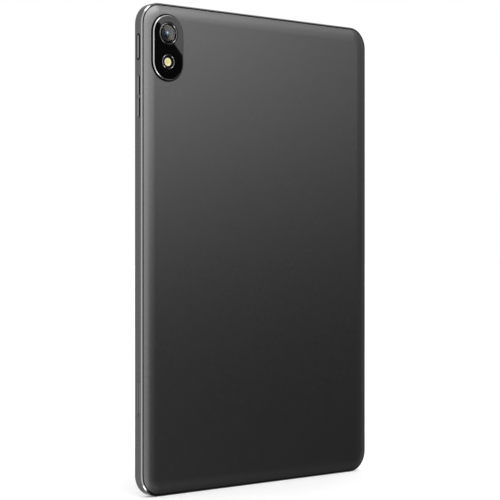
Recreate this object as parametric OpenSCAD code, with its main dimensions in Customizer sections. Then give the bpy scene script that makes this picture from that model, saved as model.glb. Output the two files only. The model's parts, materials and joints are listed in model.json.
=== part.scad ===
// Twelve-inch class tablet computer: metal body, glass front, raised rear camera island.
// Every sub-part is modelled lying flat: x across the width, y along the height and z from the
// front glass to the back cover. upright() then stands it on its bottom edge, back towards -Y.

/* [Body] */
// Width across the short edges
body_w = 174.2; // [172:0.1:177]
// Height along the long edges
body_h = 278.6; // [276:0.1:282]
// Thickness without the camera island
body_t = 7.9; // [7.8:0.1:8.4]
// Radius of the four body corners
corner_r = 12.5; // [12:0.5:16]
// Thickness of the side walls
wall = 1.8; // [1.6:0.1:1.9]
// Width of the bevel between the side walls and the back
back_bevel = 0.6; // [0.4:0.1:0.7]

/* [Back cover] */
// Thickness of the back cover's skin
cover_skin = 0.7; // [0.6:0.05:0.8]
// Width of the cover's curved border
crown_w = 7; // [5:0.5:7.5]
// Height that the curved border rises
crown_rise = 1.1; // [0.9:0.05:1.2]

/* [Front glass and display] */
// Thickness of the front glass
glass_t = 0.7; // [0.6:0.05:0.75]
// Width of the picture area
picture_w = 156.8; // [154:0.1:158]
// Height of the picture area
picture_h = 261.4; // [258:0.1:262]

/* [Camera island] */
// Width of the island
island_w = 21.1; // [20.8:0.1:23]
// Length of the island
island_l = 36.9; // [36:0.1:39]
// Height of the island above the back cover
island_rise = 1.2; // [1:0.1:1.6]
// Radius of the metal ring round the lens
lens_ring_r = 6.6; // [6.2:0.1:7]
// Radius of the ring round the flash
flash_ring_r = 4.5; // [4.2:0.1:4.8]
// Distance from the lens to the flash
lens_to_flash = 16; // [15:0.5:17]

/* [Keys and card tray] */
// Length of the power key
power_l = 13.1; // [12:0.1:14]
// Width of the power key
power_w = 1.8; // [1.7:0.1:2]
// Length of the volume rocker
rocker_l = 23; // [21:0.5:24]
// Width of the volume rocker
rocker_w = 1.7; // [1.6:0.1:1.8]
// Height of the volume rocker above the side wall
rocker_rise = 0.2; // [0.15:0.05:0.4]
// Length of the card tray's face
tray_l = 19.3; // [19:0.1:19.8]
// Width of the card tray's face
tray_w = 3; // [2.8:0.1:3.2]

/* [Battery and speakers] */
// Width of one battery cell
cell_w = 60.5; // [56:0.5:61]
// Length of one battery cell
cell_l = 128; // [110:1:130]
// Distance from the centre line to each speaker
speaker_x = 46; // [44:0.5:48]

/* [Hidden] */
$fn = 48;
eps = 0.02;

// Side positions: u is the distance in from the outside of a wall.
half_w = body_w / 2;
half_h = body_h / 2;
function left(u) = -half_w + u;
lip_u = 1.0;                       // front lip that surrounds the glass
glass_u = 1.4;                     // edge of the front glass
ledge_u = 3.2;                     // inner edge of the ledge that carries the glass
seam = 0.65;                       // open gap between the rim and the back cover
rim_u = back_bevel + 0.15;         // back rim beside the seam
cover_u = rim_u + seam;            // edge of the back cover
crown_u = cover_u + crown_w;       // inner end of the curved border

// Levels, from the outside of the front glass.
lip_z = 0.15;
ledge_z = glass_t + 0.25;
web_z0 = 3.0;                      // front face of the web that stiffens the frame
web_z = 3.4;                       // back face of the web, where the inner parts sit
rim_z = body_t - crown_rise;       // back rim and the low edge of the cover
step_z = rim_z - 0.9;              // step that the cover's foot is bonded to
cover_in_z = body_t - cover_skin;
side_z = 4.0;                      // centre line of the keys, tray and ports
board_z = 4.05;
board_t = 0.8;
board_top = board_z + board_t;
crown_r = (crown_w * crown_w + crown_rise * crown_rise) / (2 * crown_rise);

// Camera island, on the upper left of the back.
island_at = [-69.9, 114.2];
island_z = body_t + island_rise;
lens_at = [island_at[0], island_at[1] + lens_to_flash / 2];
flash_at = [island_at[0], island_at[1] - lens_to_flash / 2];
island_gap = 0.3;                  // gap between the island and the back cover
island_rim = 1.2;                  // width of the metal rim round the island's glass
window_w = island_w - 2 * island_rim;
window_l = island_l - 2 * island_rim;

// Keys and tray on the left wall.
key_z = side_z - 0.3;              // centre line of the keys' outer faces
power_y = 113.8;
power_rise = 0.2;                  // height of the power key above the side wall
power_well_l = power_l + 1.8;
power_well_w = 3.6;
power_well_u = 0.75;               // depth of the well round the power key
volume_y = 85.9;
key_flange_t = 0.45;
key_gap = 0.1;
rocker_gap = 0.16;
rocker_slot = 0.7;                 // extra opening along the rear side of the pads
rocker_pivot_u = 2.2;
rocker_waist_l = 1.6;              // waist between the rocker's two pads
rocker_waist_w = 1.4;
switch_u = 3.15;                   // tops of the switch domes
rocker_nub_y = 8;                  // distance from the rocker's pivot to each switch
tray_y = -83.6;
tray_gap = 0.2;
tray_plate_y = [-90.6, -74.6];
tray_plate_z = [3.9, 4.7];
tray_end_x = -61;
eject_y = -92;
eject_z = 4.3;
eject_r = 0.5;

// Lever that turns the eject pin's push into the tray's release.
lever_x = -57.2;
lever_y = -84;
lever_pin_r = 0.6;

// Boards and battery.
board_x = [-84.5, -52];
board_y = [-72, 60];
cell_z = [3.5, cover_in_z - 0.35];
cell_x0 = -46;
cell_gap = 1;
cell_y0 = -78;
screw_r = 0.6;
board_screws = [[-81, 47], [-55, 56.5], [-81, 20], [-81, -30], [-55, -36], [-55, -69]];
charge_screws = [[-19, -121], [19, -121]];

// Front camera, in the middle of the long left border.
front_cam_at = [-82.8, 0];
sensor_at = [-82.8, 10];

// Port in the middle of the bottom edge.
port_z = 3.9;
port_l = 8.94;
port_w = 3.16;
port_depth = 7.4;

// Speakers and their openings in the short edges.
speaker_w = 30;
speaker_d = 20;
grille_count = 8;
grille_pitch = 2.4;
grille_r = 0.6;
grille_z = 4.15;

// Microphones: place along the width, and 1 for the top edge or -1 for the bottom edge.
mic_at = [[12, 1], [-14, -1]];
mic_r = 0.5;

// ---------------------------------------------------------------- helpers

module upright() {
    translate([0, body_t / 2, half_h]) rotate([90, 0, 0]) children();
}

module box(x, y, z) {
    translate([x[0], y[0], z[0]]) cube([x[1] - x[0], y[1] - y[0], z[1] - z[0]]);
}

module rounded_rect(w, h, r) {
    square([w - 2 * r, h], center = true);
    square([w, h - 2 * r], center = true);
    for (sx = [-1, 1], sy = [-1, 1])
        translate([sx * (w / 2 - r), sy * (h / 2 - r)]) circle(r = r);
}

// Flat plate whose edge lies u inside the body's outline.
module inset_plate(u, z) {
    translate([0, 0, z[0]]) linear_extrude(z[1] - z[0])
        rounded_rect(body_w - 2 * u, body_h - 2 * u, corner_r - u);
}

// Sweeps a 2D profile of (-u, z) once round the body's outline.
module body_sweep() {
    sizes = [body_w, body_h];
    for (k = [0:3]) {
        across = sizes[k % 2];
        along = sizes[(k + 1) % 2];
        rotate([0, 0, 90 * k]) {
            translate([across / 2, along / 2 - corner_r, 0]) rotate([90, 0, 0])
                linear_extrude(along - 2 * corner_r) children();
            translate([across / 2 - corner_r, along / 2 - corner_r, 0])
                rotate_extrude(angle = 90, $fn = 96) translate([corner_r, 0]) children();
        }
    }
}

module stadium(l, w) {
    square([w, l - w], center = true);
    for (s = [-1, 1]) translate([0, s * (l - w) / 2]) circle(d = w);
}

// Sweeps a 2D profile of (-u, z) once round a stadium that is long in y.
module stadium_sweep(l, w) {
    for (k = [0:1]) rotate([0, 0, 180 * k]) {
        translate([w / 2, (l - w) / 2, 0]) rotate([90, 0, 0])
            linear_extrude(l - w) children();
        translate([0, (l - w) / 2, 0])
            rotate_extrude(angle = 180, $fn = 96) translate([w / 2, 0]) children();
    }
}

// Stadium block in the left wall, long in y and wide in z, between depths u[0] and u[1].
module side_block(y, z, l, w, u) {
    translate([left(u[0]), y, z]) rotate([0, 90, 0]) linear_extrude(u[1] - u[0])
        stadium(l, w);
}

// Stadium block in the bottom edge, long in x and wide in z, between depths u[0] and u[1].
module port_block(l, w, u) {
    translate([0, -half_h + u[1], port_z]) rotate([90, 0, 0]) rotate([0, 0, 90])
        linear_extrude(u[1] - u[0]) stadium(l, w);
}

module disc(at, r, z) {
    translate([at[0], at[1], z[0]]) cylinder(r = r, h = z[1] - z[0]);
}

module ring(at, r_out, r_in, z) {
    difference() {
        disc(at, r_out, z);
        disc(at, r_in, [z[0] - 1, z[1] + 1]);
    }
}

module side_rod(y, z, r, u) {
    translate([left(u[0]), y, z]) rotate([0, 90, 0]) cylinder(r = r, h = u[1] - u[0]);
}

// Wire of round section through a list of points.
module wire(points, r) {
    for (i = [0:len(points) - 2]) {
        step = points[i + 1] - points[i];
        span = norm(step);
        translate(points[i]) rotate([0, acos(step[2] / span), atan2(step[1], step[0])])
            cylinder(r = r, h = span, $fn = 24);
    }
    for (i = [1:len(points) - 2]) translate(points[i]) sphere(r = r, $fn = 24);
}

module grille_holes(extra) {
    for (end = [-1, 1], side = [-1, 1], i = [0:grille_count - 1])
        translate([side * speaker_x + (i - (grille_count - 1) / 2) * grille_pitch,
                   end * (half_h + 1), grille_z])
            rotate([end * 90, 0, 0]) cylinder(r = grille_r, h = wall + 1 + extra);
}

// ---------------------------------------------------------------- body shells

module frame_profile() {
    polygon([
        [0, 0.5], [-0.35, lip_z], [-lip_u, lip_z], [-lip_u, ledge_z], [-ledge_u, ledge_z],
        [-ledge_u, web_z], [-wall, web_z], [-wall, step_z], [-rim_u, step_z],
        [-rim_u, rim_z], [-back_bevel, rim_z], [0, rim_z - back_bevel]
    ]);
}

// The rocker's outline, grown by a gap: two pads joined by a narrow waist.
module rocker_outline(gap, u, rear = 0) {
    pad_l = (rocker_l - rocker_waist_l) / 2;
    for (s = [-1, 1])
        side_block(volume_y + s * (rocker_l - pad_l) / 2, key_z + rear, pad_l + 2 * gap,
                   rocker_w + 2 * gap, u);
    box([left(u[0]), left(u[1])], [volume_y - rocker_waist_l, volume_y + rocker_waist_l],
        [key_z - rocker_waist_w / 2 - gap, key_z + rocker_waist_w / 2 + gap]);
}

module key_wells() {
    side_block(power_y, key_z, power_well_l, power_well_w, [-1, power_well_u]);
    side_block(power_y, key_z, power_l + 2 * key_gap, power_w + 2 * key_gap, [0, wall + 1]);
    for (rear = [0, rocker_slot]) rocker_outline(rocker_gap, [-1, wall + 1], rear);
    for (key = [[power_y, 9.5], [volume_y, 14]])
        box([left(wall), left(4.45)], [key[0] - key[1], key[0] + key[1]], [2.2, 8]);
}

module tray_well() {
    side_block(tray_y, side_z, tray_l + 2 * tray_gap, tray_w + 2 * tray_gap, [-1, 1.3]);
    box([left(1), left(4)], tray_plate_y + [-0.2, 0.2], tray_plate_z + [-0.15, 0.15]);
    side_rod(eject_y, eject_z, eject_r + 0.2, [1, 3]);
}

module mid_frame() {
    color([0.27, 0.28, 0.29]) upright() difference() {
        union() {
            body_sweep() frame_profile();
            inset_plate(ledge_u - 0.1, [web_z0, web_z]);
            for (p = concat(board_screws, charge_screws))
                disc(p, 1.7, [web_z - eps, board_z]);
        }
        key_wells();
        tray_well();
        port_block(port_l + 0.2, port_w + 0.2, [-1, port_depth + 1]);
        grille_holes(0.5);
        for (m = mic_at) translate([m[0], m[1] * (half_h + 1), grille_z])
            rotate([m[1] * 90, 0, 0]) cylinder(r = mic_r, h = wall + 1.5);
        translate([front_cam_at[0], front_cam_at[1], 3]) cube([5.2, 6, 6], center = true);
        translate([sensor_at[0], sensor_at[1], 1]) cube([3.2, 3, 2], center = true);
        box([-51.3, -49.6], [20, 44], [web_z0 - 1, web_z + 1]);
        for (p = concat(board_screws, charge_screws)) disc(p, screw_r, [web_z0 - 1, board_z + 1]);
    }
}

module cover_profile() {
    difference() {
        union() {
            intersection() {
                translate([-crown_u, body_t - crown_r]) circle(r = crown_r, $fn = 360);
                translate([-crown_u, rim_z - 0.6]) square([crown_w, 4]);
            }
            translate([-cover_u - 0.7, step_z + 0.1]) square([0.7, rim_z - step_z - 0.2]);
        }
        intersection() {
            translate([-crown_u, body_t - crown_r]) circle(r = crown_r - cover_skin, $fn = 360);
            translate([-crown_u - 1, 0]) square([crown_w + 1 - 0.7, 20]);
        }
        translate([-crown_u - 1, 0]) square([crown_w + 1 - 0.7, rim_z - 0.55]);
    }
}

module rear_cover() {
    color([0.29, 0.3, 0.31]) upright() difference() {
        union() {
            body_sweep() cover_profile();
            inset_plate(crown_u, [cover_in_z, body_t]);
        }
        translate([island_at[0], island_at[1], rim_z - 2]) linear_extrude(6)
            stadium(island_l + 2 * island_gap, island_w + 2 * island_gap);
    }
}

module cover_adhesive() {
    color([0.1, 0.1, 0.1]) upright() body_sweep()
        translate([-cover_u - 0.6, step_z]) square([0.5, 0.1]);
}

module glass_profile() {
    round_r = 0.35;
    translate([-glass_u - 2, 0]) square([2 - round_r, glass_t]);
    translate([-glass_u - 2, round_r]) square([2, glass_t - round_r]);
    translate([-glass_u - round_r, round_r]) circle(r = round_r);
}

module cover_glass() {
    color([0.03, 0.03, 0.035]) upright() {
        body_sweep() glass_profile();
        inset_plate(glass_u + 2, [0, glass_t]);
    }
}

module display_gasket() {
    color([0.06, 0.06, 0.06]) upright() body_sweep()
        translate([-glass_u + 0.05, 0.22]) square([0.3, ledge_z - 0.27]);
}

module display_adhesive() {
    color([0.12, 0.12, 0.12]) upright() difference() {
        body_sweep() translate([-ledge_u + 0.1, glass_t]) square([1.3, ledge_z - glass_t]);
        translate([front_cam_at[0], front_cam_at[1], 1]) cube([5.2, 6, 2], center = true);
        translate([sensor_at[0], sensor_at[1], 1]) cube([3.2, 3, 2], center = true);
    }
}

// ---------------------------------------------------------------- display

module lcd_panel() {
    color([0.05, 0.06, 0.08]) upright() translate([0, 0, glass_t + 0.02])
        linear_extrude(1.03) rounded_rect(picture_w + 2.6, picture_h + 2.4, 3);
}

module backlight_unit() {
    color([0.8, 0.81, 0.82]) upright() translate([0, 0, glass_t + 1.06])
        linear_extrude(2.84 - glass_t - 1.06) rounded_rect(picture_w + 2.4, picture_h + 0.8, 2);
}

module display_flex() {
    y = [22, 42];
    color([0.75, 0.5, 0.2]) upright() {
        box([-79, -50.4], y, [2.86, 2.96]);
        box([-50.5, -50.4], y, [2.86, 5.75]);
        box([-57, -50.4], y, [5.65, 5.75]);
    }
}

// ---------------------------------------------------------------- camera island

module bezel_profile() {
    bevel = 0.6;
    polygon([
        [0, cover_in_z - 0.3], [0, island_z - bevel], [-bevel, island_z],
        [-island_rim + 0.05, island_z], [-island_rim + 0.05, island_z - 0.85],
        [-2.6, island_z - 0.85], [-2.6, cover_in_z - 0.3]
    ]);
}

module camera_bezel() {
    color([0.33, 0.34, 0.35]) upright() translate([island_at[0], island_at[1], 0])
        stadium_sweep(island_l, island_w) bezel_profile();
}

module camera_window() {
    color([0.02, 0.02, 0.025]) upright() difference() {
        translate([island_at[0], island_at[1], island_z - 0.85]) linear_extrude(0.8)
            stadium(window_l, window_w);
        disc(lens_at, lens_ring_r + 0.05, [5, 12]);
        disc(flash_at, flash_ring_r + 0.05, [5, 12]);
    }
}

// Ring turned about the z axis, with a bevelled inner mouth.
module bevelled_ring(at, r_out, r_in, r_mouth, z) {
    translate([at[0], at[1], 0]) rotate_extrude($fn = 96) polygon([
        [r_in, z[0]], [r_out, z[0]], [r_out, z[1] - 0.12], [r_out - 0.12, z[1]],
        [r_mouth, z[1]], [r_in, z[1] - 0.55]
    ]);
}

module lens_ring() {
    color([0.5, 0.5, 0.52]) upright()
        bevelled_ring(lens_at, lens_ring_r, 4.5, 5.7, [island_z - 1.5, island_z + 0.02]);
}

module lens_window() {
    color([0.1, 0.12, 0.16]) upright() disc(lens_at, 4.42, [island_z - 1.1, island_z - 0.62]);
}

module rear_camera_module() {
    color([0.15, 0.15, 0.16]) upright() difference() {
        translate([lens_at[0], lens_at[1], 5.15]) cube([10.6, 10.6, 3.3], center = true);
        disc(lens_at, 3.7, [4.2, 12]);
    }
}

module rear_lens_barrel() {
    color([0.08, 0.08, 0.08]) upright() difference() {
        disc(lens_at, 3.5, [4.35, 7.15]);
        disc(lens_at, 2.6, [4, 6.2]);
        translate([lens_at[0], lens_at[1], 6.1]) cylinder(r1 = 1.7, r2 = 3, h = 1.1);
    }
}

module rear_lens_elements() {
    color([0.2, 0.35, 0.5]) upright() {
        intersection() {
            disc(lens_at, 2.5, [4.6, 6.05]);
            translate([lens_at[0], lens_at[1], 1.05]) sphere(r = 5, $fn = 96);
        }
    }
}

module rear_camera_flex() {
    color([0.75, 0.5, 0.2]) upright() {
        box([lens_at[0] - 2.5, lens_at[0] + 2.5], [59, lens_at[1] - 5.3], [3.5, 3.6]);
        box([lens_at[0] - 2.5, lens_at[0] + 2.5], [61, 61.1], [3.5, 5.75]);
        box([lens_at[0] - 2.5, lens_at[0] + 2.5], [53, 61.1], [5.65, 5.75]);
    }
}

module flash_ring() {
    color([0.3, 0.3, 0.31]) upright()
        bevelled_ring(flash_at, flash_ring_r, 2.6, 3.4, [island_z - 1.3, island_z - 0.04]);
}

module flash_lens() {
    color([0.93, 0.88, 0.66]) upright() difference() {
        disc(flash_at, 2.55, [island_z - 1.2, island_z - 0.6]);
        for (r = [1.0, 1.6, 2.2]) ring(flash_at, r, r - 0.12, [island_z - 0.68, island_z]);
    }
}

module flash_led() {
    color([0.95, 0.85, 0.3]) upright() translate([flash_at[0], flash_at[1], 0]) {
        translate([0, 0, island_z - 1.75]) cube([2.4, 2.4, 0.6], center = true);
        translate([0, 0, island_z - 1.44]) cylinder(r = 0.8, h = 0.14);
    }
}

module flash_board() {
    color([0.1, 0.25, 0.15]) upright() {
        translate([flash_at[0] - 3, flash_at[1] - 3, 3.62])
            cube([6, 6, island_z - 2.06 - 3.62]);
    }
}

// ---------------------------------------------------------------- front camera

module front_camera_module() {
    color([0.12, 0.12, 0.12]) upright() difference() {
        translate([front_cam_at[0], front_cam_at[1], 2.55]) cube([4.6, 5.4, 3.3], center = true);
        disc(front_cam_at, 1.5, [0, 2.2]);
    }
}

module front_camera_lens() {
    color([0.15, 0.2, 0.3]) upright() intersection() {
        disc(front_cam_at, 1.4, [1.1, 2.2]);
        translate([front_cam_at[0], front_cam_at[1], 3.9]) sphere(r = 2.8, $fn = 64);
    }
}

module light_sensor() {
    color([0.3, 0.3, 0.32]) upright()
        translate([sensor_at[0], sensor_at[1], 1.3]) cube([2.2, 2, 0.9], center = true);
}

// ---------------------------------------------------------------- keys

module power_button() {
    color([0.3, 0.31, 0.32]) upright() {
        side_block(power_y, key_z, power_l, power_w, [-power_rise, 2.2]);
        side_block(power_y, key_z, power_l + 1.6, power_w + 0.9, [2.15, 2.15 + key_flange_t]);
        side_rod(power_y, side_z, 0.6, [2.5, 2.85]);
    }
}

// The rocker's outer face dips into a shallow waist between its two raised ends, and a round
// rib behind it is the fulcrum that it tips on.
module volume_rocker() {
    color([0.3, 0.31, 0.32]) upright() {
        difference() {
            rocker_outline(0, [-rocker_rise, 2.2]);
            box([left(-1), left(0)], [volume_y - rocker_waist_l / 2 - 0.3,
                                      volume_y + rocker_waist_l / 2 + 0.3],
                [0, body_t]);
        }
        side_block(volume_y, key_z + rocker_slot / 2, rocker_l + 1.4,
                   rocker_w + rocker_slot + 0.65, [2.15, 2.15 + key_flange_t]);
        for (s = [-1, 1])
            side_rod(volume_y + s * rocker_nub_y, side_z, 0.6, [2.5, 2.9]);
        translate([left(rocker_pivot_u), volume_y, key_z - rocker_waist_w / 2])
            cylinder(r = 0.6, h = rocker_waist_w);
    }
}

module key_switches() {
    color([0.78, 0.78, 0.76]) upright()
        for (y = [power_y, volume_y - rocker_nub_y, volume_y + rocker_nub_y]) {
            side_rod(y, side_z, 1.0, [switch_u, 3.4]);
            box([left(3.4), left(3.7)], [y - 1.8, y + 1.8], [side_z - 1.05, side_z + 1.3]);
        }
}

module side_key_flex() {
    color([0.75, 0.5, 0.2]) upright() {
        for (y = [[power_y - 4, power_y + 4], [volume_y - 12, volume_y + 12]])
            box([left(3.7), left(3.8)], y, [side_z - 1, side_z + 1.4]);
        box([left(3.7), left(3.8)], [volume_y - 26, power_y], [side_z + 1.2, side_z + 1.6]);
        box([left(3.7), left(6)], [volume_y - 32, volume_y - 25.9],
            [side_z + 1.5, side_z + 1.6]);
    }
}

module side_key_bracket() {
    color([0.7, 0.7, 0.68]) upright()
        for (y = [[power_y - 9, power_y + 9], [volume_y - 13.5, volume_y + 13.5]])
            box([left(3.82), left(4.2)], y, [2.95, side_z + 1.15]);
}

// ---------------------------------------------------------------- card tray and reader

module sim_tray() {
    memory_pocket = [[-83.6, -72.4], [-90.25, -75.05]];
    sim_pocket = [[-71.3, -62.2], [-89, -76.4]];
    color([0.3, 0.31, 0.32]) upright() difference() {
        union() {
            side_block(tray_y, side_z, tray_l, tray_w, [eps, 1.2]);
            box([left(1), tray_end_x], tray_plate_y, tray_plate_z);
        }
        for (p = [memory_pocket, sim_pocket]) {
            box(p[0], p[1], [tray_plate_z[0] + 0.2, tray_plate_z[1] + 1]);
            box(p[0] + [2, -2], p[1] + [2.5, -2.5], [tray_plate_z[0] - 1, tray_plate_z[1]]);
        }
        side_rod(eject_y, eject_z, eject_r, [-1, 3]);
    }
}

module card_reader() {
    color([0.72, 0.73, 0.74]) upright() {
        difference() {
            box([left(wall) + 0.4, tray_end_x + 0.4], [-91.1, -74.1], [web_z, 5.1]);
            box([left(0), tray_end_x + 1], tray_plate_y + [-0.15, 0.15],
                tray_plate_z + [-0.1, 0.1]);
        }
        box([left(wall) + 0.4, -54.5], [-93.2, -73.6], [web_z, 3.78]);
        disc([lever_x, lever_y], lever_pin_r, [3.7, 4.95]);
    }
}

module ejector_rod() {
    color([0.75, 0.75, 0.76]) upright()
        side_rod(eject_y, eject_z, eject_r, [2.1, half_w + lever_x - 1.2]);
}

module ejector_lever() {
    color([0.7, 0.7, 0.72]) upright() difference() {
        translate([lever_x, lever_y, 4.1]) linear_extrude(0.6) stadium(17.2, 2);
        disc([lever_x, lever_y], lever_pin_r + 0.06, [3, 6]);
    }
}

// ---------------------------------------------------------------- boards

module screw_holes(points) {
    for (p = points) disc(p, screw_r + 0.25, [board_z - 1, board_top + 1]);
}

module main_board() {
    color([0.05, 0.2, 0.15]) upright() difference() {
        box(board_x, board_y, [board_z, board_top]);
        translate([front_cam_at[0] - 2, front_cam_at[1], board_z]) cube([9.5, 7, 3], center = true);
        screw_holes(board_screws);
    }
}

shield_areas = [
    [[-79, -54.5], [-67, -40]], [[-78, -57.5], [-27, -8]], [[-76, -54.5], [-5, 16]]
];

module board_chips() {
    inset = [1.6, -1.6];
    color([0.12, 0.12, 0.13]) upright() {
        for (a = shield_areas) {
            split = (a[1][0] + a[1][1]) / 2;
            box(a[0] + inset, [a[1][0] + 1.6, split - 0.5], [board_top, board_top + 0.8]);
            box(a[0] + inset * 2, [split + 0.5, a[1][1] - 1.6], [board_top, board_top + 0.7]);
        }
        for (i = [0:5]) translate([-78 + 4 * i, 47, board_top]) cube([2.4, 3.2, 0.6]);
    }
}

module board_shields() {
    shield_t = 0.2;
    color([0.76, 0.77, 0.78]) upright() difference() {
        for (a = shield_areas) box(a[0], a[1], [board_top, board_top + 1.3]);
        for (a = shield_areas)
            box(a[0] + [shield_t, -shield_t], a[1] + [shield_t, -shield_t],
                [board_top - 1, board_top + 1.1]);
    }
}

// Plug and socket pairs: display, battery, keys, camera and the link to the charging board.
module board_connectors() {
    color([0.16, 0.16, 0.17]) upright() {
        box([-58, -53], [24, 40], [board_top, 5.64]);
        box([-58, -53], [50.2, 54.8], [board_top, 5.24]);
        box([-80.5, -77.5], [volume_y - 32, volume_y - 26.5], [board_top, 5.45]);
        box([-70.5, -66], [53, 58], [board_top, 5.64]);
        box([-54.3, -52.2], [-60, -48], [board_top, 4.94]);
    }
}

module heat_spreader() {
    color([0.2, 0.2, 0.2]) upright()
        box([-76, -52], [-66, 40], [cover_in_z - 0.1, cover_in_z]);
}

module charge_board() {
    color([0.05, 0.2, 0.15]) upright() difference() {
        union() {
            box([-22, 22], [-131.2, -117], [board_z, board_top]);
            box([-6, 6], [-129, -124], [board_top, board_top + 0.7]);
            box([8, 13], [-127, -120], [board_top, board_top + 0.9]);
            box([-16, -11.6], [-124, -119], [board_top, board_top + 0.1]);
        }
        screw_holes(charge_screws);
    }
}

module link_flex() {
    z = [4.95, 5.05];
    color([0.75, 0.5, 0.2]) upright() {
        box([-51.8, -48.2], [-116.6, -47], z);
        box([-51.8, -12], [-116.6, -113], z);
        box([-15.6, -12], [-124, -113], z);
        box([-54.2, -48.2], [-60, -48], z);
    }
}

// ---------------------------------------------------------------- battery

module battery_cell(i) {
    x0 = cell_x0 + i * (cell_w + cell_gap);
    bend = 1.2;
    translate([x0 + cell_w / 2, cell_y0 + cell_l / 2, 0]) {
        translate([0, 0, cell_z[0]]) linear_extrude(cell_z[1] - cell_z[0] - 0.4)
            rounded_rect(cell_w, cell_l, bend);
        translate([0, 0, cell_z[1] - 0.5]) linear_extrude(0.5)
            rounded_rect(cell_w - 1, cell_l - 1, bend);
    }
}

module battery_cell_inner() {
    color([0.2, 0.21, 0.22]) upright() battery_cell(0);
}

module battery_cell_outer() {
    color([0.2, 0.21, 0.22]) upright() battery_cell(1);
}

module battery_adhesive() {
    color([0.9, 0.9, 0.88]) upright()
        for (i = [0:1], f = [0.2, 0.7]) {
            x = cell_x0 + i * (cell_w + cell_gap) + f * cell_w;
            box([x, x + 6], [cell_y0 + 4, cell_y0 + cell_l - 4], [web_z, cell_z[0]]);
        }
}

module battery_board() {
    y0 = cell_y0 + cell_l + 0.2;
    color([0.1, 0.3, 0.18]) upright() {
        box([-20, 52], [y0, y0 + 5.4], [4.3, 4.9]);
        for (x = [-8, 30]) box([x, x + 9], [y0 + 0.8, y0 + 4.6], [4.9, 5.12]);
    }
}

module battery_flex() {
    color([0.75, 0.5, 0.2]) upright() box([-57.5, -9], [51, 54.4], [5.25, 5.35]);
}

// ---------------------------------------------------------------- sound

// Speaker box in one corner zone: side is -1 or 1 for left or right, end for bottom or top.
module speaker(side, end) {
    color([0.13, 0.13, 0.14]) upright()
        mirror([side < 0 ? 1 : 0, 0, 0]) mirror([0, end < 0 ? 1 : 0, 0])
            speaker_box();
}

module speaker_box() {
    y1 = half_h - wall - 0.25;
    middle = [speaker_x, y1 - speaker_d / 2];
    difference() {
        union() {
            translate([middle[0], middle[1], web_z + 0.05]) linear_extrude(2.4)
                rounded_rect(speaker_w, speaker_d, 2);
            translate([middle[0], middle[1] - 2.6, web_z + 0.05]) linear_extrude(3.2)
                rounded_rect(speaker_w - 4, speaker_d - 7, 3);
        }
        translate([middle[0], middle[1] - 2.6, web_z + 2.85]) linear_extrude(1)
            rounded_rect(speaker_w - 8, speaker_d - 10.5, 3);
    }
}

module speaker_top_left() { speaker(-1, 1); }

module speaker_top_right() { speaker(1, 1); }

module speaker_bottom_left() { speaker(-1, -1); }

module speaker_bottom_right() { speaker(1, -1); }

module speaker_meshes() {
    span = (grille_count - 1) * grille_pitch + 3;
    color([0.3, 0.3, 0.3]) upright()
        for (end = [-1, 1], side = [-1, 1])
            translate([side * speaker_x, end * (half_h - wall - 0.12), grille_z + 0.1])
                cube([span, 0.16, 1.5], center = true);
}

module microphones() {
    depth = 2.9;
    color([0.75, 0.75, 0.72]) upright()
        for (m = mic_at)
            translate([m[0], m[1] * (half_h - wall - 0.1 - depth / 2), web_z + 0.72])
                cube([3.6, depth, 1.4], center = true);
}

// ---------------------------------------------------------------- port

module usb_shell() {
    color([0.75, 0.76, 0.77]) upright() difference() {
        port_block(port_l, port_w, [0.25, port_depth]);
        port_block(port_l - 0.6, port_w - 0.6, [-1, port_depth - 0.8]);
    }
}

module usb_tongue() {
    color([0.1, 0.1, 0.1]) upright()
        translate([0, -half_h + port_depth - 3.1, port_z]) cube([6.7, 4.6, 0.7], center = true);
}

// ---------------------------------------------------------------- antennas

antenna_y = [[104, 132], [-132, -104]];

module antenna_carriers() {
    color([0.16, 0.16, 0.17]) upright() for (y = antenna_y) difference() {
        box([64, 82], y, [web_z + 0.02, 5.4]);
        box([66, 76], y + [4, -4], [web_z + 0.8, 8]);
    }
}

module antenna_foils() {
    color([0.8, 0.55, 0.25]) upright() for (y = antenna_y) {
        box([77, 81.5], y + [1, -1], [5.4, 5.5]);
        box([64.5, 76.9], [y[1] - 3.5, y[1] - 1], [5.4, 5.5]);
    }
}

module antenna_cables() {
    r = 0.4;
    z = 3.9;
    color([0.1, 0.1, 0.1]) upright() {
        wire([[63.4, 110, z], [-49.5, 110, z], [-49.5, 62, z], [-53, 62, z]], r);
        wire([[63.4, -110, z], [-45, -110, z], [-45, -84, z], [-53, -76, z]], r);
    }
}

// ---------------------------------------------------------------- fasteners

module frame_screws() {
    color([0.7, 0.7, 0.7]) upright()
        for (p = concat(board_screws, charge_screws)) {
            disc(p, screw_r - 0.02, [web_z0 + 0.05, board_top + 0.05]);
            difference() {
                disc(p, 1.2, [board_top + 0.01, board_top + 0.5]);
                for (a = [0, 90]) translate([p[0], p[1], board_top + 0.5]) rotate([0, 0, a])
                    cube([1.4, 0.25, 0.4], center = true);
            }
        }
}

// ---------------------------------------------------------------- the nodes

mid_frame();
rear_cover();
cover_adhesive();
cover_glass();
display_gasket();
display_adhesive();
lcd_panel();
backlight_unit();
display_flex();
camera_bezel();
camera_window();
lens_ring();
lens_window();
rear_camera_module();
rear_lens_barrel();
rear_lens_elements();
rear_camera_flex();
flash_ring();
flash_lens();
flash_led();
flash_board();
front_camera_module();
front_camera_lens();
light_sensor();
power_button();
volume_rocker();
key_switches();
side_key_flex();
side_key_bracket();
sim_tray();
card_reader();
ejector_rod();
ejector_lever();
main_board();
board_chips();
board_shields();
board_connectors();
heat_spreader();
battery_cell_inner();
battery_cell_outer();
battery_adhesive();
battery_board();
battery_flex();
speaker_top_left();
speaker_top_right();
speaker_bottom_left();
speaker_bottom_right();
speaker_meshes();
usb_shell();
usb_tongue();
charge_board();
link_flex();
microphones();
antenna_carriers();
antenna_foils();
antenna_cables();
frame_screws();
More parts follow.
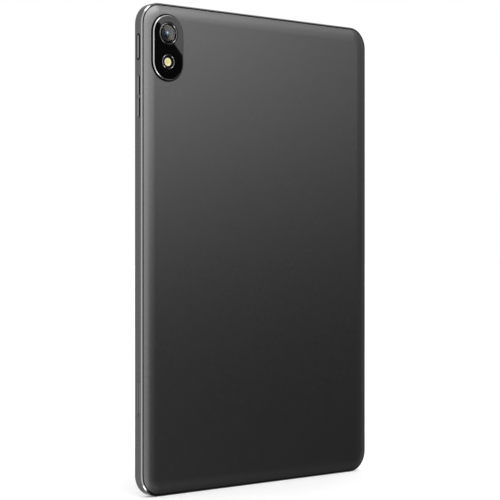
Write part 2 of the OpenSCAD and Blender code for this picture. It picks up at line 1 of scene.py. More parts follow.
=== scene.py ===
"""Tablet computer standing upright, back towards the camera: materials, light, camera and
the detailed meshes that take the place of some CAD nodes."""
import json
import math

import bmesh
import bpy
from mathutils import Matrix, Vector


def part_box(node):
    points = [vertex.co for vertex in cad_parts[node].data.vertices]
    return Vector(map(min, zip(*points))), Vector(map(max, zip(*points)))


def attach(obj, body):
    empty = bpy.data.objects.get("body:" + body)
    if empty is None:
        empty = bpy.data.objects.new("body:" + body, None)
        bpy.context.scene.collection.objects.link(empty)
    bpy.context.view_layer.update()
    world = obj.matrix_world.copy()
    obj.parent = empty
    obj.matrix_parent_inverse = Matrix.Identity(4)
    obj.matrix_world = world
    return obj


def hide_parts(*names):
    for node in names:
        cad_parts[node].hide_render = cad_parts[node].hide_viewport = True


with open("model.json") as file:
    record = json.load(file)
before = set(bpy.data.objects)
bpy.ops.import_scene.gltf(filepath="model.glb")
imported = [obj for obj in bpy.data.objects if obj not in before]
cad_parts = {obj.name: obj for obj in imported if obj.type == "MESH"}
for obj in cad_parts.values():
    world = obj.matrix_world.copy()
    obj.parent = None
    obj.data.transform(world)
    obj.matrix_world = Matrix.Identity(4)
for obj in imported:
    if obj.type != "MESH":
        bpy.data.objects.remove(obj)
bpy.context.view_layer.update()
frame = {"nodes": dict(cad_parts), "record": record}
nodes = frame["nodes"]
MM = 0.001

body_lo, body_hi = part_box("mid_frame")
middle_z = (body_lo.z + body_hi.z) / 2


# ------------------------------------------------------------------ camera

LENS_MM = 109.2                                   # on a 36 mm sensor
CAMERA_AT = Vector((-0.5843, -0.6923, 0.1401))    # left of the back's normal, at mid height
AIM_AT = Vector((-0.0057, 0.0, 0.1401))

camera_data = bpy.data.cameras.new("camera")
camera_data.lens = LENS_MM
camera_data.sensor_width = 36
camera_data.shift_y = -0.0034
camera_data.clip_start = 0.05
camera = bpy.data.objects.new("camera", camera_data)
camera.location = CAMERA_AT
camera.rotation_mode = "QUATERNION"
camera.rotation_quaternion = (AIM_AT - CAMERA_AT).to_track_quat("-Z", "Y")
bpy.context.scene.collection.objects.link(camera)
bpy.context.scene.camera = camera
bpy.context.scene.view_settings.view_transform = "Standard"


# ------------------------------------------------------------------ node helpers

class Graph:
    """A node tree with short calls for adding nodes and joining sockets."""

    def __init__(self, tree):
        self.tree = tree
        tree.nodes.clear()

    def add(self, kind, inputs=None, **settings):
        node = self.tree.nodes.new(kind)
        for key, value in settings.items():
            setattr(node, key, value)
        for key, value in (inputs or {}).items():
            self.feed(node.inputs[key], value)
        return node

    def feed(self, socket, value):
        if isinstance(value, bpy.types.NodeSocket):
            self.tree.links.new(value, socket)
        else:
            socket.default_value = value

    def math(self, operation, *values):
        node = self.add("ShaderNodeMath", operation=operation)
        for socket, value in zip(node.inputs, values):
            self.feed(socket, value)
        return node.outputs[0]

    def dot(self, vector, direction):
        node = self.add("ShaderNodeVectorMath", operation="DOT_PRODUCT")
        self.feed(node.inputs[0], vector)
        self.feed(node.inputs[1], direction)
        return node.outputs["Value"]

    def step(self, value, start, end):
        """0 below start and 1 above end, smooth between."""
        node = self.add("ShaderNodeMapRange", interpolation_type="SMOOTHSTEP")
        self.feed(node.inputs["Value"], value)
        self.feed(node.inputs["From Min"], start)
        self.feed(node.inputs["From Max"], end)
        return node.outputs["Result"]

    def ramp(self, value, stops):
        """Straight lines between (position, level) stops."""
        node = self.add("ShaderNodeFloatCurve")
        curve = node.mapping.curves[0]
        low, high = stops[0][0], stops[-1][0]
        top = max(level for _, level in stops)
        points = [((at - low) / (high - low), level / top) for at, level in stops]
        curve.points[0].location = points[0]
        curve.points[1].location = points[-1]
        for point in points[1:-1]:
            curve.points.new(*point)
        for point in curve.points:
            point.handle_type = "VECTOR"
        node.mapping.update()
        scaled = self.add("ShaderNodeMapRange")
        self.feed(scaled.inputs["Value"], value)
        self.feed(scaled.inputs["From Min"], low)
        self.feed(scaled.inputs["From Max"], high)
        self.feed(node.inputs["Value"], scaled.outputs["Result"])
        return self.math("MULTIPLY", node.outputs["Value"], top)

    def blend(self, factor, first, second):
        """Colour mix of two colours or sockets."""
        node = self.add("ShaderNodeMix", data_type="RGBA")
        self.feed(node.inputs[0], factor)
        self.feed(node.inputs[6], first)
        self.feed(node.inputs[7], second)
        return node.outputs[2]


# ------------------------------------------------------------------ light

def toward(azimuth, elevation):
    """Direction seen at an azimuth from -Y towards +X and an elevation, in degrees."""
    a, e = math.radians(azimuth), math.radians(elevation)
    return Vector((math.sin(a) * math.cos(e), -math.cos(a) * math.cos(e), math.sin(e)))


TENT_LEVEL = 1.0
# The flag stands where the camera island's glass mirrors the key panel.
FLAG_AT = toward(36.3, 6.8)
FLAG_R = 3.0
FLAG_EDGE = (toward(36.41, 8.55), toward(37.3, 7.3))
FLAG_LIT_SIDE = toward(60, 20)
FLAG_BLUR = 0.0005
FLAG_DENSITY = 0.98
# Two small lamps, high and low beside the camera, that give the turned rings their glints.
LAMPS = [(-0.19, -0.325, 0.926), (-0.328, -0.52, -0.788)]
LAMP_R = 16
LAMP_LEVEL = 8.0
# Light seen in reflections: level over the azimuth in degrees, times level over the sine of the
# elevation. The key panel grows brighter towards its right end, where it stops, and has a dim
# strip under its bright upper part.
KEY_ACROSS = [(-180, 0.2), (-45, 0.7), (-25, 3.1), (-10, 4), (5, 4.2), (30, 6.1), (36, 7),
              (43, 1), (60, 0.9), (75, 0.2), (180, 0.2)]
KEY_UP = [(-1, 0), (-0.7, 0), (-0.4, 0.08), (-0.1, 0), (0, 0), (0.05, 0.13), (0.14, 0.52),
          (0.28, 0.25), (0.5, 0.98), (0.75, 0.5), (1, 0.35)]
# The fill is a wide panel on the left, a narrow strip in the middle and a dim one on the right.
FILL_ACROSS = [(-180, 0.8), (-160, 1.2), (-95, 1.6), (-75, 3.4), (-40, 3.4), (-28, 0.8),
               (0, 1.3), (6, 3.5), (16, 0.05), (45, 0), (55, 0.3), (65, 0), (85, 1.3),
               (105, 1.3), (130, 0.9), (180, 0.8)]
FILL_UP = [(-1, 0.1), (-0.75, 0.6), (-0.4, 0.72), (0.3, 0.64), (0.6, 0.5), (1, 0.85)]


def near_direction(g, sight, direction, inner, outer):
    """1 within the inner angle of a direction and 0 beyond the outer one, in degrees."""
    return g.step(g.dot(sight, direction), math.cos(math.radians(outer)),
                  math.cos(math.radians(inner)))


def past_flag(g, sight):
    """Share of the panels' light that a small dark flag with a straight slanted edge lets by."""
    edge = FLAG_EDGE[0].cross(FLAG_EDGE[1]).normalized()
    if edge.dot(FLAG_LIT_SIDE) < 0:
        edge = -edge
    behind = g.step(g.dot(sight, edge), FLAG_BLUR, -FLAG_BLUR)
    near = near_direction(g, sight, FLAG_AT, FLAG_R, FLAG_R * 1.5)
    return g.math("MULTIPLY_ADD", g.math("MULTIPLY", behind, near), -FLAG_DENSITY, 1.0)


def make_world():
    """White tent for the camera and for diffuse light, and studio panels for reflections."""
    world = bpy.data.worlds.new("studio")
    bpy.context.scene.world = world
    world.use_nodes = True
    g = Graph(world.node_tree)
    sight = g.add("ShaderNodeTexCoord").outputs["Generated"]
    height = g.dot(sight, (0, 0, 1))
    turn = g.math("ARCTAN2", g.dot(sight, (1, 0, 0)), g.dot(sight, (0, -1, 0)))
    azimuth = g.math("MULTIPLY", turn, 180 / math.pi)

    light = 0.0
    for across, up in ((KEY_ACROSS, KEY_UP), (FILL_ACROSS, FILL_UP)):
        light = g.math("MULTIPLY_ADD", g.ramp(azimuth, across), g.ramp(height, up), light)
    light = g.math("MULTIPLY", light, past_flag(g, sight))
    for lamp in LAMPS:
        glow = near_direction(g, sight, Vector(lamp).normalized(), LAMP_R / 2, LAMP_R)
        light = g.math("MULTIPLY_ADD", glow, LAMP_LEVEL, light)
    rays = g.add("ShaderNodeLightPath")
    white = g.add("ShaderNodeBackground", {"Color": (1, 1, 1, 1), "Strength": TENT_LEVEL})
    studio = g.add("ShaderNodeBackground", {"Color": (1, 1, 1, 1), "Strength": light})
    mix = g.add("ShaderNodeMixShader", {"Fac": rays.outputs["Is Glossy Ray"],
                                        1: white.outputs[0], 2: studio.outputs[0]})
    g.add("ShaderNodeOutputWorld", {"Surface": mix.outputs[0]})


make_world()


def area_light(name, at, size, power):
    data = bpy.data.lights.new(name, "AREA")
    data.shape = "DISK"
    data.size = size
    data.energy = power
    light = bpy.data.objects.new(name, data)
    light.location = at
    light.rotation_mode = "QUATERNION"
    light.rotation_quaternion = (Vector((0, 0, middle_z)) - Vector(at)).to_track_quat("-Z", "Y")
    light.visible_glossy = False
    bpy.context.scene.collection.objects.link(light)


area_light("overhead", (-0.2, -0.5, 1.2), 0.9, 3.0)
area_light("front_fill", (0.4, 1.0, 0.9), 0.9, 3.0)


# ------------------------------------------------------------------ materials

def new_material(name):
    material = bpy.data.materials.new(name)
    material.use_nodes = True
    g = Graph(material.node_tree)
    shader = g.add("ShaderNodeBsdfPrincipled")
    g.add("ShaderNodeOutputMaterial", {"Surface": shader.outputs[0]})
    return material, g, shader


def grain(g, scale, detail=3.0):
    place = g.add("ShaderNodeTexCoord").outputs["Object"]
    return g.add("ShaderNodeTexNoise", {"Vector": place, "Scale": scale, "Detail": detail}
                 ).outputs["Fac"]


def spread(g, value, low, high):
    """Stretches a 0 to 1 value to low..high."""
    return g.math("MULTIPLY_ADD", value, high - low, low)


def bump(g, height, depth):
    return g.add("ShaderNodeBump", {"Height": height, "Distance": depth, "Strength": 1.0}
                 ).outputs["Normal"]


def plain(name, dark, light, rough, metallic=0.0, scale=900, depth=0.00001, coat=0.0):
    """Material with a fine two-tone grain, an uneven gloss and a slight relief."""
    material, g, shader = new_material(name)
    speck = grain(g, scale)
    g.feed(shader.inputs["Base Color"], g.blend(speck, (*dark, 1), (*light, 1)))
    g.feed(shader.inputs["Roughness"], spread(g, speck, rough * 0.85, rough * 1.15))
    g.feed(shader.inputs["Normal"], bump(g, speck, depth))
    shader.inputs["Metallic"].default_value = metallic
    shader.inputs["Coat Weight"].default_value = coat
    return material


def grey(level):
    return (level, level, level)


TONE = 0.12           # reflectance of the satin metal
BEVEL_TONE = 0.17     # and of the cut bevels beside it
BLACK = (*grey(0.003), 1)
# reach of the painted shade in narrow recesses
RECESS_SHADE_REACH = 0.0015
ISLAND_SHADOW_LINE = 0.0008  # width of the painted shadow line round the camera island


def edge_highlight_and_shade(g, normal, tone):
    """Painted highlight on the edge towards the display, and painted shade in black on the
    flanks.
    """
    # painted highlight: edges that face the display are made twice as bright
    tone = g.blend(g.step(g.dot(normal, (0, 1, 0)), 0.2, 0.5), tone, (*grey(TONE * 2), 1))
    # painted shade: flanks that do not face outwards are black
    return g.blend(g.step(g.dot(normal, (-1, 0, 0)), 0.3, 0.5), BLACK, tone)


def key_tone_and_shade(g, normal, tone):
    """Bright outer face, and painted shade in black on the rear-facing edge."""
    tone = edge_highlight_and_shade(g, normal, tone)
    face = (*grey(TONE * 1.7), 1)
    tone = g.blend(g.step(g.dot(normal, (-1, 0, 0)), 0.9, 0.96), tone, face)
    # painted shade: the rear-facing edge is black
    return g.blend(g.step(g.dot(normal, (0, -1, 0)), 0.2, 0.4), tone, BLACK)


def tray_highlights_and_shade(g, normal, tone):
    """Outer face with a darker middle between two painted highlights along its margins."""
    tone = edge_highlight_and_shade(g, normal, tone)
    low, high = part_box("sim_tray")
    place = g.add("ShaderNodeTexCoord").outputs["Object"]
    across = g.math("SUBTRACT", g.dot(place, (0, 1, 0)), (low.y + high.y) / 2)
    # painted highlights along the face's two margins
    margin_glint = g.step(g.math("ABSOLUTE", across), 0.0004, 0.0007)
    face = g.blend(margin_glint, (*grey(TONE * 0.65), 1), (*grey(TONE * 1.6), 1))
    return g.blend(g.step(g.dot(normal, (-1, 0, 0)), 0.95, 0.99), tone, face)


def satin_metal(name, key=False, tray=False):
    """Dark anodised metal with brighter cut bevels; painted shade makes narrow recesses nearly
    black, and a painted shadow line runs round the camera island."""
    material, g, shader = new_material(name)
    fine = grain(g, 9000, 2)
    normal = g.add("ShaderNodeNewGeometry").outputs["True Normal"]
    slant = g.math("ABSOLUTE", g.dot(normal, (0, 1, 0)))
    on_bevel = g.math("MULTIPLY", g.step(slant, 0.5, 0.6), g.math("SUBTRACT", 1.0,
                      g.step(slant, 0.82, 0.88)))
    tone = g.blend(fine, (*grey(TONE * 0.85), 1), (*grey(TONE * 1.15), 1))
    if key:
        tone = key_tone_and_shade(g, normal, tone)
    elif tray:
        tone = tray_highlights_and_shade(g, normal, tone)
    else:
        tone = g.blend(on_bevel, tone, (*grey(BEVEL_TONE), 1))
    # painted shade: ambient occlusion turns narrow recesses nearly black
    occlusion = g.add("ShaderNodeAmbientOcclusion", {"Distance": RECESS_SHADE_REACH}, samples=6)
    open_sky = occlusion.outputs["AO"]
    recess_shade = g.step(open_sky, 0.1, 0.4) if tray else g.step(open_sky, 0.5, 0.96)
    tone = g.blend(recess_shade, (*grey(0.004), 1), tone)
    # painted shadow: a black line round the camera island
    line = g.step(from_island(g), ISLAND_SHADOW_LINE, ISLAND_SHADOW_LINE - 0.0001)
    g.feed(shader.inputs["Base Color"], g.blend(line, tone, BLACK))
    rough = spread(g, fine, 0.25, 0.29)
    g.feed(shader.inputs["Roughness"], g.math("MULTIPLY_ADD", on_bevel, -0.14, rough))
    g.feed(shader.inputs["Normal"], bump(g, fine, 0.000002))
    shader.inputs["Metallic"].default_value = 1.0
    return material


def from_island(g):
    """Distance out from the upright stadium of the camera island, in metres."""
    low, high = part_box("camera_bezel")
    radius = (high.x - low.x) / 2
    reach = (high.z - low.z) / 2 - radius
    place = g.add("ShaderNodeTexCoord").outputs["Object"]
    split = g.add("ShaderNodeSeparateXYZ", {"Vector": place})
    across = g.math("SUBTRACT", split.outputs["X"], (low.x + high.x) / 2)
    along = g.math("ABSOLUTE", g.math("SUBTRACT", split.outputs["Z"], (low.z + high.z) / 2))
    past = g.math("MAXIMUM", g.math("SUBTRACT", along, reach), 0.0)
    square = g.math("ADD", g.math("MULTIPLY", across, across), g.math("MULTIPLY", past, past))
    return g.math("SUBTRACT", g.math("SQRT", square), radius)


def black_glass(name, ior):
    material, g, shader = new_material(name)
    haze = grain(g, 60)
    g.feed(shader.inputs["Base Color"], g.blend(haze, (*grey(0.0006), 1), (*grey(0.0014), 1)))
    g.feed(shader.inputs["Roughness"], spread(g, haze, 0.008, 0.012))
    shader.inputs["IOR"].default_value = ior
    return material


PICTURE_W = 0.1568        # the lit part of the display
PICTURE_H = 0.2614
PICTURE_BLUR = 0.0002


def display_glass():
    """Black border round a dark blue-grey picture area, and the front camera's round spot."""
    material, g, shader = new_material("display_glass")
    low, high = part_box("lcd_panel")
    place = g.add("ShaderNodeTexCoord").outputs["Object"]
    split = g.add("ShaderNodeSeparateXYZ", {"Vector": place})
    across = g.math("ABSOLUTE", g.math("SUBTRACT", split.outputs["X"], (low.x + high.x) / 2))
    along = g.math("ABSOLUTE", g.math("SUBTRACT", split.outputs["Z"], (low.z + high.z) / 2))
    inside = g.math("MULTIPLY", g.step(across, PICTURE_W / 2, PICTURE_W / 2 - PICTURE_BLUR),
                    g.step(along, PICTURE_H / 2, PICTURE_H / 2 - PICTURE_BLUR))
    haze = grain(g, 60)
    border = g.blend(haze, (*grey(0.0015), 1), (*grey(0.003), 1))
    picture = g.blend(haze, (0.011, 0.012, 0.015, 1), (0.015, 0.016, 0.02, 1))
    tone = g.blend(inside, border, picture)
    reach = from_axis(g, "front_camera_lens")
    ring = g.math("MULTIPLY", g.step(reach, 0.0013, 0.0015), g.step(reach, 0.0021, 0.0019))
    tone = g.blend(ring, tone, (0.03, 0.031, 0.034, 1))
    tone = g.blend(g.step(reach, 0.0008, 0.0006), tone, (0.01, 0.03, 0.07, 1))
    g.feed(shader.inputs["Base Color"], tone)
    g.feed(shader.inputs["Roughness"], spread(g, haze, 0.01, 0.02))
    shader.inputs["IOR"].default_value = 1.45
    return material


def clear_glass():
    """Tinted window: mostly see-through, with its own faint reflection."""
    material, g, shader = new_material("clear_glass")
    haze = grain(g, 200)
    g.feed(shader.inputs["Base Color"], g.blend(haze, (*grey(0.002), 1), (*grey(0.005), 1)))
    g.feed(shader.inputs["Alpha"], spread(g, haze, 0.28, 0.34))
    shader.inputs["Roughness"].default_value = 0.02
    shader.inputs["IOR"].default_value = 1.7
    return material


def from_axis(g, node, aside=0.0):
    """Distance in metres from a Y axis that passes aside of the middle of a CAD node."""
    low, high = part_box(node)
    place = g.add("ShaderNodeTexCoord").outputs["Object"]
    offset = g.add("ShaderNodeVectorMath", operation="SUBTRACT")
    g.feed(offset.inputs[0], place)
    g.feed(offset.inputs[1], (low + high) / 2 + Vector((aside, 0, 0)))
    flat = g.add("ShaderNodeVectorMath", operation="MULTIPLY")
    g.feed(flat.inputs[0], offset.outputs[0])
    g.feed(flat.inputs[1], (1, 0, 1))
    reach = g.add("ShaderNodeVectorMath", operation="LENGTH")
    g.feed(reach.inputs[0], flat.outputs[0])
    return reach.outputs["Value"]


def dull_black(name):
    """Light trap: hardly any reflection of its own."""
    material, g, shader = new_material(name)
    speck = grain(g, 900)
    g.feed(shader.inputs["Base Color"], g.blend(speck, (*grey(0.001), 1), (*grey(0.003), 1)))
    g.feed(shader.inputs["Roughness"], spread(g, speck, 0.6, 0.8))
    shader.inputs["IOR"].default_value = 1.12
    return material


CYAN_REFLECTION_ASIDE = 0.0006    # the painted cyan reflection spot sits a little to the right of the axis


def coated_glass(name, node):
    """Lens surface with a painted cyan reflection spot in its middle and a navy coating round
    it.
    """
    material, g, shader = new_material(name)
    low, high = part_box(node)
    radius = (high.x - low.x) / 2
    haze = grain(g, 700)
    middle = g.blend(haze, (0.5, 0.9, 1.0, 1), (0.6, 0.96, 1.0, 1))
    reach = from_axis(g, node, CYAN_REFLECTION_ASIDE)
    # painted reflection: a cyan disc set off the axis, navy beyond it
    inner = g.blend(g.step(reach, radius * 0.4, radius * 0.68), middle, (0.02, 0.05, 0.14, 1))
    g.feed(shader.inputs["Base Color"], inner)
    g.feed(shader.inputs["Roughness"], spread(g, haze, 0.15, 0.2))
    shader.inputs["Metallic"].default_value = 1.0
    return material


def flash_plastic():
    """Cream diffuser, yellow over the light source in its middle and black at its rim."""
    material, g, shader = new_material("flash_plastic")
    speck = grain(g, 1500)
    reach = g.math("MULTIPLY_ADD", speck, 0.0004, from_axis(g, "flash_lens"))
    cream = g.blend(g.step(reach, 0.0007, 0.0019), (0.6, 0.51, 0.13, 1), (0.72, 0.68, 0.43, 1))
    rim = g.step(from_axis(g, "flash_lens"), 0.00225, 0.0024)
    g.feed(shader.inputs["Base Color"], g.blend(rim, cream, (*grey(0.002), 1)))
    g.feed(shader.inputs["Roughness"], spread(g, speck, 0.2, 0.3))
    return material


SLOT_MATERIALS = {
    "body_metal": satin_metal("satin_metal"),
    "key_metal": satin_metal("key_metal", key=True),
    "tray_metal": satin_metal("tray_metal", tray=True),
    "polished_bevel": plain("polished_bevel", grey(0.24), grey(0.3), 0.24, 1.0, 4000, 0.000001),
    "front_glass": display_glass(),
    "island_glass": black_glass("island_glass", 1.36),
    "lens_glass": clear_glass(),
    "coated_glass": coated_glass("coated_glass", "rear_lens_elements"),
    "lens_black": plain("lens_black", grey(0.003), grey(0.006), 0.45),
    "barrel_brown": plain("barrel_brown", (0.1, 0.092, 0.085), (0.12, 0.11, 0.1), 0.36, 0.8,
                          300, 0.0000005),
    "dim_ring": plain("dim_ring", grey(0.12), grey(0.15), 0.1, 1.0, 3000, 0.000001),
    "dark_wall": dull_black("dark_wall"),
    "flash_lens": flash_plastic(),
    "led_yellow": plain("led_yellow", (0.8, 0.6, 0.12), (0.9, 0.7, 0.2), 0.4),
    "panel": plain("panel", grey(0.012), grey(0.02), 0.12),
    "reflector": plain("reflector", grey(0.75), grey(0.85), 0.5),
    "gasket": plain("gasket", grey(0.01), grey(0.02), 0.6),
    "adhesive": plain("adhesive", grey(0.03), grey(0.05), 0.7),
    "strip_white": plain("strip_white", grey(0.7), grey(0.8), 0.6),
    "flex": plain("flex", (0.4, 0.2, 0.05), (0.55, 0.3, 0.09), 0.35, 0.3),
    "board": plain("board", (0.008, 0.07, 0.05), (0.015, 0.12, 0.08), 0.35),
    "chips": plain("chips", grey(0.025), grey(0.04), 0.45),
    "shield": plain("shield", grey(0.5), grey(0.6), 0.3, 1.0, 300),
    "steel": plain("steel", grey(0.45), grey(0.55), 0.25, 1.0),
    "black_plastic": plain("black_plastic", grey(0.03), grey(0.045), 0.45),
    "cell": plain("cell", grey(0.06), grey(0.08), 0.3),
    "graphite": plain("graphite", grey(0.04), grey(0.06), 0.4, 0.5),
    "mesh": plain("mesh", grey(0.03), grey(0.06), 0.4, 1.0, 6000),
}


def dress(obj, slot_name):
    obj.data.materials.clear()
    obj.data.materials.append(SLOT_MATERIALS[slot_name])


slot_of = {s["node"]: s["material_slot"] for s in frame["record"]["subparts"]}
for name, obj in nodes.items():
    dress(obj, slot_of[name])
dress(nodes["rear_lens_elements"], "coated_glass")
dress(nodes["ejector_rod"], "dark_wall")
for name in ("power_button", "volume_rocker"):
    dress(nodes[name], "key_metal")
dress(nodes["sim_tray"], "tray_metal")


# ------------------------------------------------------------------ detailed meshes

ROUND = 96            # segments of a full turn


def add_mesh(name, bm, slots, body):
    """Object from a bmesh, with the given material slots, attached to a body."""
    bmesh.ops.recalc_face_normals(bm, faces=bm.faces)
    mesh = bpy.data.meshes.new(name)
    bm.to_mesh(mesh)
    bm.free()
    obj = bpy.data.objects.new(name, mesh)
    bpy.context.scene.collection.objects.link(obj)
    for slot_name in slots:
        mesh.materials.append(SLOT_MATERIALS[slot_name])
    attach(obj, body)
    return obj


def join_rings(bm, rings, closed, finish=None):
    """Quads between neighbouring rings of vertices; finish gives each band's material."""
    count = len(rings) if closed else len(rings) - 1
    for k in range(count):
        near, far = rings[k], rings[(k + 1) % len(rings)]
        for i in range(len(near)):
            j = (i + 1) % len(near)
            face = bm.faces.new((near[i], near[j], far[j], far[i]))
            face.smooth = True
            face.material_index = finish[k] if finish else 0


def lathe(name, centre, profile, slots, body, finish=None, smooth_angle=30):
    """Turns (radius, depth) points about the Y axis through centre; depth is towards -Y.
    A profile that starts and ends at radius 0 is closed by fans, any other is a ring."""
    bm = bmesh.new()
    at = Vector(centre)
    rings, poles = [], {}
    for index, (radius, depth) in enumerate(profile):
        if radius == 0:
            poles[index] = bm.verts.new(at + Vector((0, -depth, 0)) * MM)
            continue
        ring = []
        for i in range(ROUND):
            turn = 2 * math.pi * i / ROUND
            ring.append(bm.verts.new(at + Vector((radius * math.cos(turn), -depth,
                                                  radius * math.sin(turn))) * MM))
        rings.append(ring)
    first = 1 if 0 in poles else 0
    join_rings(bm, rings, not poles, finish[first:] if finish else None)
    for index, pole in poles.items():
        ring = rings[0] if index == 0 else rings[-1]
        for i in range(ROUND):
            face = bm.faces.new((pole, ring[i], ring[(i + 1) % ROUND]))
            face.smooth = True
            band = 0 if index == 0 else len(profile) - 2
            face.material_index = finish[band] if finish else 0
    obj = add_mesh(name, bm, slots, body)
    sharpen(obj, smooth_angle)
    return obj


def sharpen(obj, angle):
    """Marks the edges that turn by more than the angle as sharp."""
    bm = bmesh.new()
    bm.from_mesh(obj.data)
    for edge in bm.edges:
        if len(edge.link_faces) == 2:
            edge.smooth = edge.calc_face_angle(0) < math.radians(angle)
    bm.to_mesh(obj.data)
    bm.free()


def stadium_outline(width, length):
    """Points of an upright stadium round (0, 0), as (x, z) pairs in millimetres."""
    radius, reach = width / 2, (length - width) / 2
    points = []
    for end in (1, -1):
        for i in range(ROUND // 2 + 1):
            turn = math.pi * i / (ROUND // 2)
            points.append((end * radius * math.cos(turn),
                           end * (reach + radius * math.sin(turn))))
    return points


def stadium_ring(bm, centre, width, length, depth):
    at = Vector(centre)
    return [bm.verts.new(at + Vector((x, -depth, z)) * MM)
            for x, z in stadium_outline(width, length)]


def centre_of(node):
    low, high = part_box(node)
    return (low + high) / 2


island_lo, island_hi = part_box("camera_bezel")
ISLAND_W = (island_hi.x - island_lo.x) / MM
ISLAND_L = (island_hi.z - island_lo.z) / MM
ISLAND_D = (island_hi.y - island_lo.y) / MM
RIM_BEVEL = 0.42      # bevel along the island's edge
RIM_SEAT = 1.2        # width of the rim that the glass rests on
GLASS_T = 0.6
GLASS_SINK = 0.06     # step from the rim down to the glass
MOUTH_GAP = 0.06


def island_centre(depth_from_top):
    """Middle of the island, at a depth below its top."""
    return Vector(((island_lo.x + island_hi.x) / 2, island_lo.y + depth_from_top * MM,
                   (island_lo.z + island_hi.z) / 2))


def make_island_rim():
    """Dark wall with a bright cut bevel, and the seat for the glass inside it."""
    seat = RIM_BEVEL + 0.08
    profile = [  # inset from the island's edge, depth below its top, band after it
        (0.0, ISLAND_D, 0), (0.0, RIM_BEVEL, 1), (RIM_BEVEL * 0.15, RIM_BEVEL * 0.7, 1),
        (RIM_BEVEL * 0.8, RIM_BEVEL * 0.06, 1), (RIM_BEVEL, 0.0, 1), (seat, 0.0, 0),
        (seat, GLASS_SINK + GLASS_T, 0), (RIM_SEAT, GLASS_SINK + GLASS_T, 0),
        (RIM_SEAT, ISLAND_D, 0)]
    bm = bmesh.new()
    top = island_centre(0)
    rings = [stadium_ring(bm, top, ISLAND_W - 2 * inset, ISLAND_L - 2 * inset, -depth)
             for inset, depth, _ in profile]
    join_rings(bm, rings, True, [band for _, _, band in profile])
    rim = add_mesh("island_rim", bm, ["dark_wall", "polished_bevel"], "tablet_body")
    sharpen(rim, 24)
    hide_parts("camera_bezel")


def make_island_glass():
    """Black glass plate with round openings for the lens and the flash."""
    bm = bmesh.new()
    edge = RIM_BEVEL + 0.1
    holes = [("lens_ring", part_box("lens_ring")), ("flash_ring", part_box("flash_ring"))]
    loops = []
    for depth in (GLASS_SINK, GLASS_SINK + GLASS_T):
        outer = stadium_ring(bm, island_centre(0), ISLAND_W - 2 * edge, ISLAND_L - 2 * edge,
                             -depth)
        level = [outer]
        for _, (low, high) in holes:
            middle = (low + high) / 2
            middle.y = island_lo.y + depth * MM
            radius = (high.x - low.x) / 2 + MOUTH_GAP * MM
            level.append([bm.verts.new(middle + Vector((radius * math.cos(t), 0,
                                                        radius * math.sin(t))))
                          for t in (2 * math.pi * i / ROUND for i in range(ROUND))])
        loops.append(level)
    for level in loops:
        edges = []
        for loop in level:
            edges += [bm.edges.new((loop[i], loop[(i + 1) % len(loop)]))
                      for i in range(len(loop))]
        bmesh.ops.triangle_fill(bm, use_beauty=True, use_dissolve=False, edges=edges)
    for front, back in zip(*loops):
        join_rings(bm, [front, back], False)
    glass = add_mesh("island_glass", bm, ["island_glass"], "tablet_body")
    sharpen(glass, 24)
    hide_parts("camera_window")


def make_lens():
    low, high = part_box("lens_ring")
    at = centre_of("lens_ring")
    at.y = low.y
    radius = (high.x - low.x) / 2 / MM
    depth = (high.y - low.y) / MM
    window_r = 4.95
    bright_r = radius - 0.5
    # A black collar, a thin turned ring, and a black funnel that holds the window.
    collar = lathe("lens_collar", at, [
        (radius, -depth), (radius, -0.12), (bright_r + 0.04, -0.12), (bright_r + 0.04, -depth)],
        ["dark_wall"], "tablet_body")
    ring = lathe("lens_ring_bright", at, [
        (bright_r, -depth), (bright_r, -0.12), (bright_r - 0.14, 0.0), (bright_r - 0.24, 0.02),
        (bright_r - 0.4, -0.12), (bright_r - 0.4, -depth)],
        ["dim_ring"], "tablet_body")
    funnel = lathe("lens_funnel", at, [
        (bright_r - 0.44, -depth), (bright_r - 0.44, -0.12), (window_r + 0.06, -0.12),
        (window_r + 0.06, -0.42), (4.6, -0.5), (4.5, -0.8), (4.5, -depth)],
        ["dark_wall"], "tablet_body")
    for piece in (collar, ring, funnel):
        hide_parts("lens_ring")
    window = lathe("lens_window_disc", at, [
        (0, -0.16), (window_r - 0.05, -0.16), (window_r, -0.21), (window_r, -0.4), (0, -0.4)],
        ["lens_glass"], "tablet_body")
    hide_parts("lens_window")

    low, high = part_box("rear_lens_barrel")
    at = centre_of("rear_lens_barrel")
    at.y = low.y
    length = (high.y - low.y) / MM
    outer = (high.x - low.x) / 2 / MM
    barrel = lathe("lens_barrel_stepped", at, [
        (outer, -length), (outer, 0.0), (3.95, 0.2), (4.0, 1.1), (3.85, 1.2), (3.7, 1.17),
        (3.0, 0.87), (2.9, 0.73), (2.35, 0.5), (2.25, 0.3), (2.25, -length)],
        ["barrel_brown"], "focus_group")
    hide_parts("rear_lens_barrel")
    inner = [(0, 1.1), (0.5, 1.08), (1.0, 1.0), (1.5, 0.87), (1.9, 0.69), (2.1, 0.55),
             (2.1, -2.0), (0, -2.0)]
    element = lathe("lens_elements_domed", at, inner, ["coated_glass"], "focus_group")
    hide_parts("rear_lens_elements")


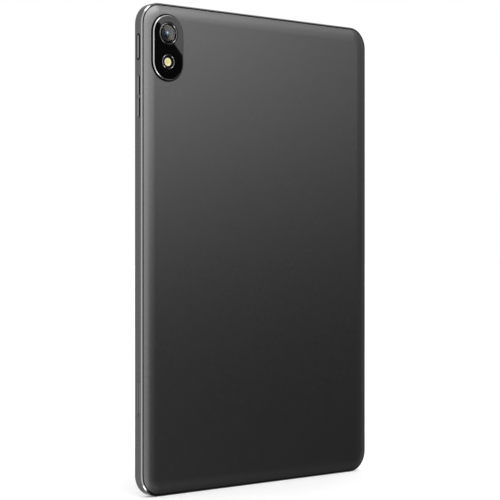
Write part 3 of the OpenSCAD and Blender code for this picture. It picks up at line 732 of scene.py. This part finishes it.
def make_flash():
    low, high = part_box("flash_ring")
    at = centre_of("flash_ring")
    at.y = low.y
    radius = (high.x - low.x) / 2 / MM
    depth = (high.y - low.y) / MM
    bright_r = radius - 0.3
    ring = lathe("flash_ring_rim", at, [
        (bright_r, -depth), (bright_r, -0.12), (bright_r - 0.12, 0.0), (bright_r - 0.22, 0.0),
        (bright_r - 0.36, -0.12), (bright_r - 0.36, -depth)], ["dim_ring"], "tablet_body")
    collar = lathe("flash_collar", at, [
        (radius, -depth), (radius, -0.12), (bright_r + 0.04, -0.12), (bright_r + 0.04, -depth)],
        ["dark_wall"], "tablet_body")
    funnel = lathe("flash_funnel", at, [
        (bright_r - 0.4, -depth), (bright_r - 0.4, -0.14), (3.3, -0.2), (2.75, -0.45),
        (2.6, -0.5), (2.6, -depth)], ["dark_wall"], "tablet_body")
    for piece in (collar, ring, funnel):
        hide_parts("flash_ring")

    low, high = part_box("flash_lens")
    at = centre_of("flash_lens")
    at.y = low.y
    radius = (high.x - low.x) / 2 / MM
    depth = (high.y - low.y) / MM
    steps = [(0, 0.0)]
    for groove in range(1, 5):
        out = 0.35 + groove * 0.45
        steps += [(out, -0.03 * groove), (out + 0.04, -0.03 * groove - 0.1)]
    steps += [(radius - 0.12, -0.2), (radius, -0.3), (radius, -depth), (0, -depth)]
    dome = lathe("flash_fresnel", at, steps, ["flash_lens"], "tablet_body", smooth_angle=20)
    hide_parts("flash_lens")


def soften(node, width):
    """Rounds the edges of a CAD node."""
    obj = nodes[node]
    weld = obj.modifiers.new("weld", "WELD")
    weld.merge_threshold = 0.000002
    bevel = obj.modifiers.new("soft_edges", "BEVEL")
    bevel.width = width * MM
    bevel.segments = 3
    bevel.limit_method = "ANGLE"
    bevel.angle_limit = math.radians(40)
    bevel.use_clamp_overlap = True


make_island_rim()
make_island_glass()
make_lens()
make_flash()
soften("power_button", 0.25)
soften("volume_rocker", 0.2)
soften("sim_tray", 0.8)


# ------------------------------------------------------------------ floor

FLOOR_R = 12.0
FLOOR_GLOW = 0.12     # lifts the paper to an even white


def make_floor():
    bm = bmesh.new()
    bmesh.ops.create_circle(bm, cap_ends=True, radius=FLOOR_R, segments=ROUND)
    mesh = bpy.data.meshes.new("floor")
    bm.to_mesh(mesh)
    bm.free()
    floor = bpy.data.objects.new("floor", mesh)
    bpy.context.scene.collection.objects.link(floor)
    paper = plain("floor_paper", grey(0.94), grey(0.97), 0.9, 0.0, 40, 0.0)
    shader = next(n for n in paper.node_tree.nodes if n.type == "BSDF_PRINCIPLED")
    shader.inputs["Emission Color"].default_value = (1, 1, 1, 1)
    shader.inputs["Emission Strength"].default_value = FLOOR_GLOW
    mesh.materials.append(paper)
    floor.visible_glossy = False


make_floor()
